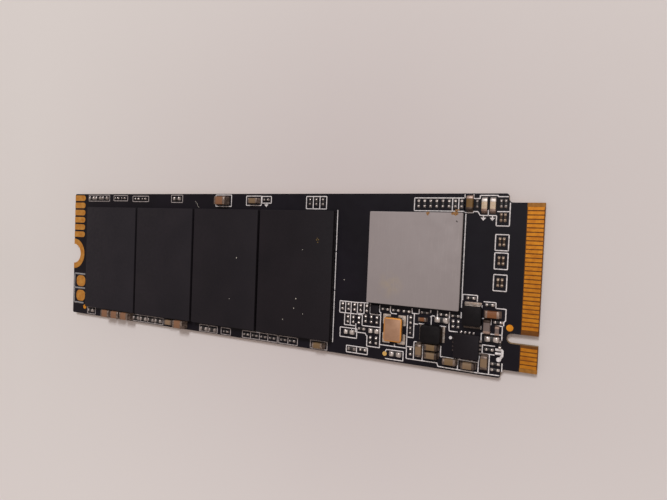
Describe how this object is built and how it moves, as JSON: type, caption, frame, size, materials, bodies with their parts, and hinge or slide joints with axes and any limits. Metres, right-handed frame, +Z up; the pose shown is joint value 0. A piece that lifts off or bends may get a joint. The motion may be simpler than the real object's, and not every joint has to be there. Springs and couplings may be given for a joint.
{
  "type": "solid state drive",
  "caption": "Slim keyed card-edge drive board with flash packages in a row, a lidded controller, a supply corner of chip parts and a half-round screw notch.",
  "frame": {"origin": "centre of the board's outline, on its underside", "axes": "+X along the board, out of the card edge; +Y across it, away from the key slot; +Z up, out of the side that carries the parts"},
  "size_m": [0.08, 0.022, 0.0021],
  "materials": {
    "solder_mask": "black solder mask on glass laminate, satin",
    "gold_plating": "hard gold over nickel, a little worn",
    "mould_compound": "fine-grained black mould compound",
    "nickel_lid": "matte nickel plate",
    "solder": "bright tin",
    "inductor_core": "moulded iron powder, matte",
    "crystal_ceramic": "dark ceramic",
    "crystal_metal": "gold-plated lid",
    "capacitor_ceramic": "tan brown ceramic",
    "resistor_glaze": "black glaze",
    "led_lens": "cream resin"
  },
  "bodies": {
    "root": {"pcb_board": "solder_mask", "upper_edge_contacts": "gold_plating", "lower_edge_contacts": "gold_plating", "screw_notch_lands": "gold_plating", "service_pads": "gold_plating", "test_pads": "gold_plating", "fiducial_dots": "gold_plating", "controller_package": "mould_compound", "controller_heat_spreader": "nickel_lid", "controller_balls": "solder", "regulator_body": "mould_compound", "regulator_leads": "solder", "monitor_chip": "mould_compound", "upright_inductor_core": "inductor_core", "upright_inductor_clips": "solder", "level_inductor_core": "inductor_core", "level_inductor_clips": "solder", "crystal_base": "crystal_ceramic", "crystal_lid": "crystal_metal", "crystal_lands": "solder", "flash_package_1": "mould_compound", "flash_balls_1": "solder", "flash_package_2": "mould_compound", "flash_balls_2": "solder", "flash_package_3": "mould_compound", "flash_balls_3": "solder", "flash_package_4": "mould_compound", "flash_balls_4": "solder", "link_capacitor_bodies": "capacitor_ceramic", "link_capacitor_caps": "solder", "supply_capacitor_bodies": "capacitor_ceramic", "supply_capacitor_caps": "solder", "header_capacitor_bodies": "capacitor_ceramic", "header_capacitor_caps": "solder", "bulk_capacitor_bodies": "capacitor_ceramic", "bulk_capacitor_caps": "solder", "flash_upper_capacitor_bodies": "capacitor_ceramic", "flash_upper_capacitor_caps": "solder", "flash_lower_capacitor_bodies": "capacitor_ceramic", "flash_lower_capacitor_caps": "solder", "upper_resistor_bodies": "resistor_glaze", "upper_resistor_caps": "solder", "controller_resistor_bodies": "resistor_glaze", "controller_resistor_caps": "solder", "clock_resistor_bodies": "resistor_glaze", "clock_resistor_caps": "solder", "supply_resistor_bodies": "resistor_glaze", "supply_resistor_caps": "solder", "near_edge_resistor_bodies": "resistor_glaze", "near_edge_resistor_caps": "solder", "flash_upper_resistor_bodies": "resistor_glaze", "flash_upper_resistor_caps": "solder", "flash_lower_resistor_bodies": "resistor_glaze", "flash_lower_resistor_caps": "solder", "indicator_led_bodies": "led_lens", "indicator_led_caps": "solder"}
  },
  "joints": []
}
